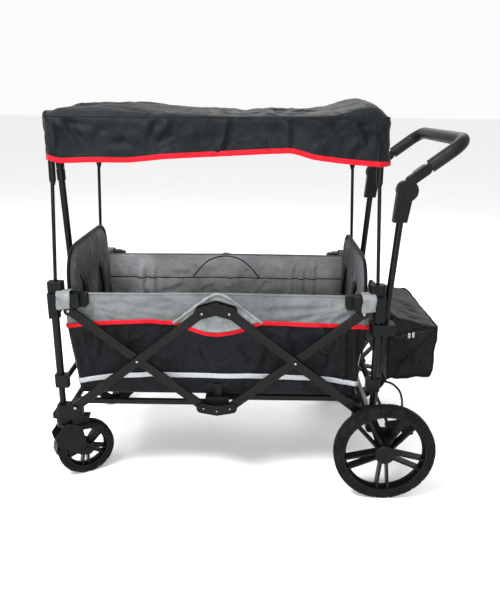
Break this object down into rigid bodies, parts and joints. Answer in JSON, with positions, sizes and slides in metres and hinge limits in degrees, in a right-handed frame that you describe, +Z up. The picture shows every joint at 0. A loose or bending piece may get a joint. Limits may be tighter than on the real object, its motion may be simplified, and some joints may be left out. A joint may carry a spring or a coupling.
{
  "type": "folding pull wagon",
  "caption": "Folding four-wheeled pull wagon for children, with scissor side frames, a fabric basket, a canopy, a push handle, a pull handle and a rear storage bag.",
  "frame": {"origin": "on the ground under the middle of the wagon's bounding box", "axes": "+X towards the push handle (rear), -X towards the pull handle and casters (front), +Z up, the wagon's side planes are parallel to XZ"},
  "size_m": [1.1895, 0.686, 1.108],
  "materials": {
    "frame_black": "satin",
    "moulded_black": "matte",
    "zinc": "satin",
    "tyre": "matte",
    "rim": "satin",
    "canopy_cloth": "matte",
    "basket_cloth": "matte",
    "seat_cloth": "matte",
    "bag_cloth": "matte",
    "board": "matte",
    "grip": "satin",
    "cable": "satin"
  },
  "bodies": {
    "rear_frame": {"rear_legs": "frame_black", "rear_bracket_near": "moulded_black", "rear_bracket_far": "moulded_black", "rear_cross_tube": "frame_black", "rear_rails": "frame_black", "rear_axle": "zinc", "push_uprights": "frame_black", "handle_clamps": "moulded_black", "handle_sockets": "moulded_black", "brake_cable": "cable", "storage_bag": "bag_cloth"},
    "rear_upper": {"rear_corner_near": "moulded_black", "rear_corner_far": "moulded_black", "rear_sleeves": "frame_black", "rear_poles": "frame_black", "rear_upper_cross_tubes": "frame_black", "rear_basket": "basket_cloth", "rear_floor_board": "board", "rear_seat_back": "seat_cloth", "rear_canopy": "canopy_cloth"},
    "front_upper": {"front_corner_near": "moulded_black", "front_corner_far": "moulded_black", "front_sleeves": "frame_black", "front_poles": "frame_black", "front_upper_cross_tubes": "frame_black", "front_basket": "basket_cloth", "front_floor_board": "board", "front_seat_back": "seat_cloth", "front_canopy": "canopy_cloth"},
    "front_frame": {"front_legs": "frame_black", "front_bracket_near": "moulded_black", "front_bracket_far": "moulded_black", "front_cross_tube": "frame_black", "front_rails": "frame_black", "pull_hinge": "moulded_black"},
    "rear_rising": {"rear_rising_braces": "frame_black"},
    "rear_falling": {"rear_falling_braces": "frame_black"},
    "front_rising": {"front_rising_braces": "frame_black"},
    "front_falling": {"front_falling_braces": "frame_black"},
    "upper_hub": {"upper_hubs": "moulded_black"},
    "lower_hub": {"lower_hubs": "moulded_black"},
    "push_handle": {"push_bar": "frame_black", "push_grip": "grip"},
    "push_button_near": {"handle_button_near": "moulded_black"},
    "push_button_far": {"handle_button_far": "moulded_black"},
    "pedal": {"brake_pedal": "moulded_black"},
    "pull_arm": {"pull_tube": "frame_black"},
    "pull_slider": {"pull_grip": "moulded_black"},
    "rear_wheel_near": {"rear_tyre_near": "tyre", "rear_rim_near": "rim"},
    "caster_near": {"caster_fork_near": "moulded_black"},
    "caster_wheel_near": {"caster_tyre_near": "tyre", "caster_rim_near": "rim"},
    "lock_near": {"swivel_lock_near": "moulded_black"},
    "rear_wheel_far": {"rear_tyre_far": "tyre", "rear_rim_far": "rim"},
    "caster_far": {"caster_fork_far": "moulded_black"},
    "caster_wheel_far": {"caster_tyre_far": "tyre", "caster_rim_far": "rim"},
    "lock_far": {"swivel_lock_far": "moulded_black"}
  },
  "joints": [
    {"name": "fold", "type": "hinge", "parent": "rear_frame", "child": "rear_rising", "pos_m": [0.3317, 0, 0.259], "axis": [0, 1, 0], "range_deg": [0, 26]},
    {"name": "fold_rear_cross", "type": "hinge", "parent": "rear_rising", "child": "rear_falling", "pos_m": [0.1457, 0, 0.4055], "axis": [0, 1, 0], "range_deg": [-52, 0]},
    {"name": "fold_upper_hub", "type": "hinge", "parent": "rear_rising", "child": "upper_hub", "pos_m": [-0.0403, 0, 0.552], "axis": [0, 1, 0], "range_deg": [-26, 0]},
    {"name": "fold_lower_hub", "type": "hinge", "parent": "rear_falling", "child": "lower_hub", "pos_m": [-0.0403, 0, 0.259], "axis": [0, 1, 0], "range_deg": [0, 26]},
    {"name": "fold_rear_top", "type": "hinge", "parent": "rear_falling", "child": "rear_upper", "pos_m": [0.3317, 0, 0.552], "axis": [0, 1, 0], "range_deg": [0, 26]},
    {"name": "fold_front_rise", "type": "hinge", "parent": "upper_hub", "child": "front_rising", "pos_m": [-0.1163, 0, 0.552], "axis": [0, 1, 0], "range_deg": [-26, 0]},
    {"name": "fold_front_foot", "type": "hinge", "parent": "front_rising", "child": "front_frame", "pos_m": [-0.4883, 0, 0.259], "axis": [0, 1, 0], "range_deg": [0, 26]},
    {"name": "fold_front_cross", "type": "hinge", "parent": "front_rising", "child": "front_falling", "pos_m": [-0.3023, 0, 0.4055], "axis": [0, 1, 0], "range_deg": [0, 52]},
    {"name": "fold_front_top", "type": "hinge", "parent": "front_falling", "child": "front_upper", "pos_m": [-0.4883, 0, 0.552], "axis": [0, 1, 0], "range_deg": [-26, 0]},
    {"name": "rear_wheel_spin_near", "type": "hinge", "parent": "rear_frame", "child": "rear_wheel_near", "pos_m": [0.4077, -0.32, 0.146], "axis": [0, 1, 0], "continuous": true},
    {"name": "caster_swivel_near", "type": "hinge", "parent": "front_frame", "child": "caster_near", "pos_m": [-0.5433, -0.235, 0.19], "axis": [0, 0, 1], "continuous": true},
    {"name": "caster_spin_near", "type": "hinge", "parent": "caster_near", "child": "caster_wheel_near", "pos_m": [-0.49307, -0.206, 0.0863], "axis": [-0.5, 0.866, 0], "continuous": true},
    {"name": "swivel_lock_near_press", "type": "hinge", "parent": "front_frame", "child": "lock_near", "pos_m": [-0.5143, -0.235, 0.206], "axis": [0, 1, 0], "range_deg": [0, 12]},
    {"name": "push_button_near_press", "type": "slide", "parent": "push_handle", "child": "push_button_near", "axis": [0, 1, 0], "range_m": [0, 0.003], "stiffness_N_per_m": 600},
    {"name": "rear_wheel_spin_far", "type": "hinge", "parent": "rear_frame", "child": "rear_wheel_far", "pos_m": [0.4077, 0.32, 0.146], "axis": [0, 1, 0], "continuous": true},
    {"name": "caster_swivel_far", "type": "hinge", "parent": "front_frame", "child": "caster_far", "pos_m": [-0.5433, 0.235, 0.19], "axis": [0, 0, 1], "continuous": true},
    {"name": "caster_spin_far", "type": "hinge", "parent": "caster_far", "child": "caster_wheel_far", "pos_m": [-0.49887, 0.27228, 0.0863], "axis": [-0.6428, 0.766, 0], "continuous": true},
    {"name": "swivel_lock_far_press", "type": "hinge", "parent": "front_frame", "child": "lock_far", "pos_m": [-0.5143, 0.235, 0.206], "axis": [0, 1, 0], "range_deg": [0, 12]},
    {"name": "push_button_far_press", "type": "slide", "parent": "push_handle", "child": "push_button_far", "axis": [0, -1, 0], "range_m": [0, 0.003], "stiffness_N_per_m": 600},
    {"name": "push_handle_angle", "type": "hinge", "parent": "rear_frame", "child": "push_handle", "pos_m": [0.4307, 0, 0.887], "axis": [0, 1, 0], "range_deg": [-40, 80]},
    {"name": "brake_pedal_press", "type": "hinge", "parent": "rear_frame", "child": "pedal", "pos_m": [0.4337, 0, 0.186], "axis": [0, 1, 0], "range_deg": [0, 18]},
    {"name": "pull_handle_drop", "type": "hinge", "parent": "front_frame", "child": "pull_arm", "pos_m": [-0.5433, 0, 0.245], "axis": [0, -1, 0], "range_deg": [0, 95]},
    {"name": "pull_handle_extend", "type": "slide", "parent": "pull_arm", "child": "pull_slider", "axis": [-0.0352, 0, 0.9994], "range_m": [0, 0.22]}
  ],
  "couplings": [
    {"joint": "fold_rear_cross", "follows": "fold", "ratio": -2},
    {"joint": "fold_upper_hub", "follows": "fold", "ratio": -1},
    {"joint": "fold_lower_hub", "follows": "fold", "ratio": 1},
    {"joint": "fold_rear_top", "follows": "fold", "ratio": 1},
    {"joint": "fold_front_rise", "follows": "fold", "ratio": -1},
    {"joint": "fold_front_foot", "follows": "fold", "ratio": 1},
    {"joint": "fold_front_cross", "follows": "fold", "ratio": 2},
    {"joint": "fold_front_top", "follows": "fold", "ratio": -1}
  ]
}
